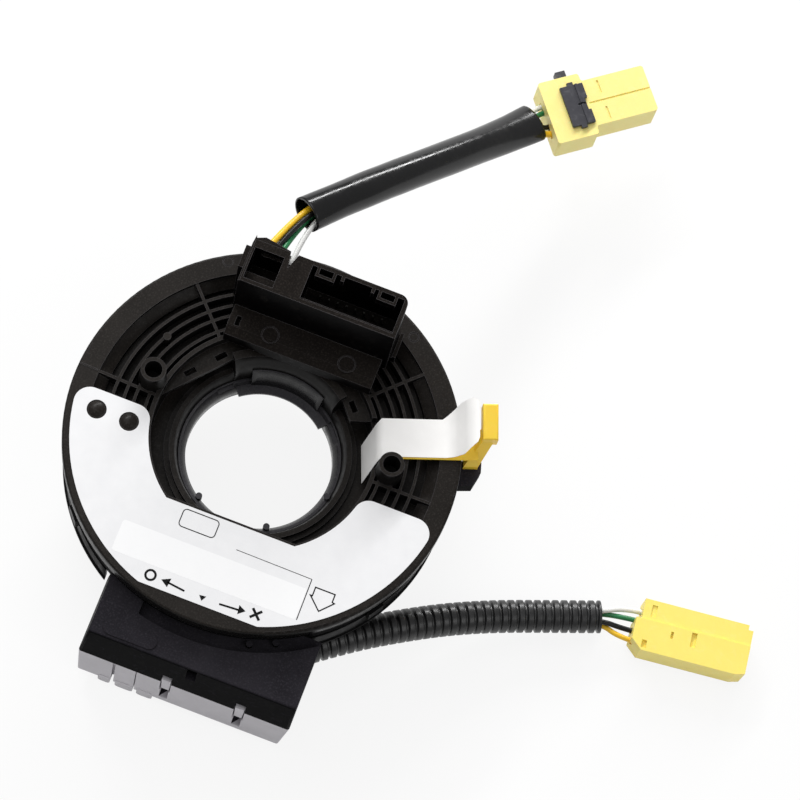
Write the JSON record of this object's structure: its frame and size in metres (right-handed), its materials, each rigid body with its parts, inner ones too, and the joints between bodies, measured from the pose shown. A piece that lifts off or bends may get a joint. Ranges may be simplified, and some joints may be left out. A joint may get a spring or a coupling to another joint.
{
  "type": "steering clock spring",
  "caption": "Rotary steering clock spring: a turning ring with a connector block over a fixed case with a connector block, each with a wire lead ending in a plug.",
  "frame": {"origin": "on the turning axis, at the lower end of the hub's bore", "axes": "+Z along the turning axis towards the steering wheel, -Y towards the fixed connector block, +X towards the side where both leads end"},
  "size_m": [0.2011, 0.2191, 0.0693],
  "materials": {
    "black_plastic": "fine satin moulded",
    "hub_plastic": "satin moulded",
    "label_film": "matt printed film, left blank",
    "grey_plastic": "satin moulded",
    "yellow_plastic": "satin moulded",
    "pale_yellow_plastic": "satin moulded",
    "dark_grey_plastic": "satin moulded",
    "strip_film": "smooth film",
    "contact_metal": "tin-plated",
    "flat_cable_film": "smooth film",
    "conduit_plastic": "matt",
    "sleeve_plastic": "glossy",
    "wire_white": "satin",
    "wire_green": "satin",
    "wire_black": "satin",
    "wire_yellow": "satin"
  },
  "bodies": {
    "stator": {"stator_case": "black_plastic", "back_cover": "black_plastic", "connector_housing": "grey_plastic", "housing_contacts": "contact_metal", "flat_cable": "flat_cable_film", "cable_conduit": "conduit_plastic", "lower_wire_white": "wire_white", "lower_wire_green": "wire_green", "lower_wire_black": "wire_black", "lower_wire_yellow": "wire_yellow", "lower_connector": "pale_yellow_plastic", "lower_connector_contacts": "contact_metal"},
    "rotor": {"rotor_disc": "black_plastic", "rotor_hub": "hub_plastic", "upper_block": "black_plastic", "bay_contacts": "contact_metal", "centre_label": "label_film", "lock_strip": "strip_film", "lock_tab": "yellow_plastic", "wire_sleeve": "sleeve_plastic", "upper_wire_yellow": "wire_yellow", "upper_wire_black": "wire_black", "upper_wire_green": "wire_green", "upper_wire_white": "wire_white", "upper_connector": "pale_yellow_plastic", "upper_connector_contacts": "contact_metal"},
    "lock": {"connector_lock": "dark_grey_plastic"}
  },
  "joints": [
    {"name": "rotor_turn", "type": "hinge", "parent": "stator", "child": "rotor", "pos_m": [0, 0, 0], "axis": [0, 0, 1], "range_deg": [-900, 900]},
    {"name": "connector_lock_slide", "type": "slide", "parent": "rotor", "child": "lock", "axis": [0.788, 0.6157, 0], "range_m": [0, 0.0016]}
  ]
}
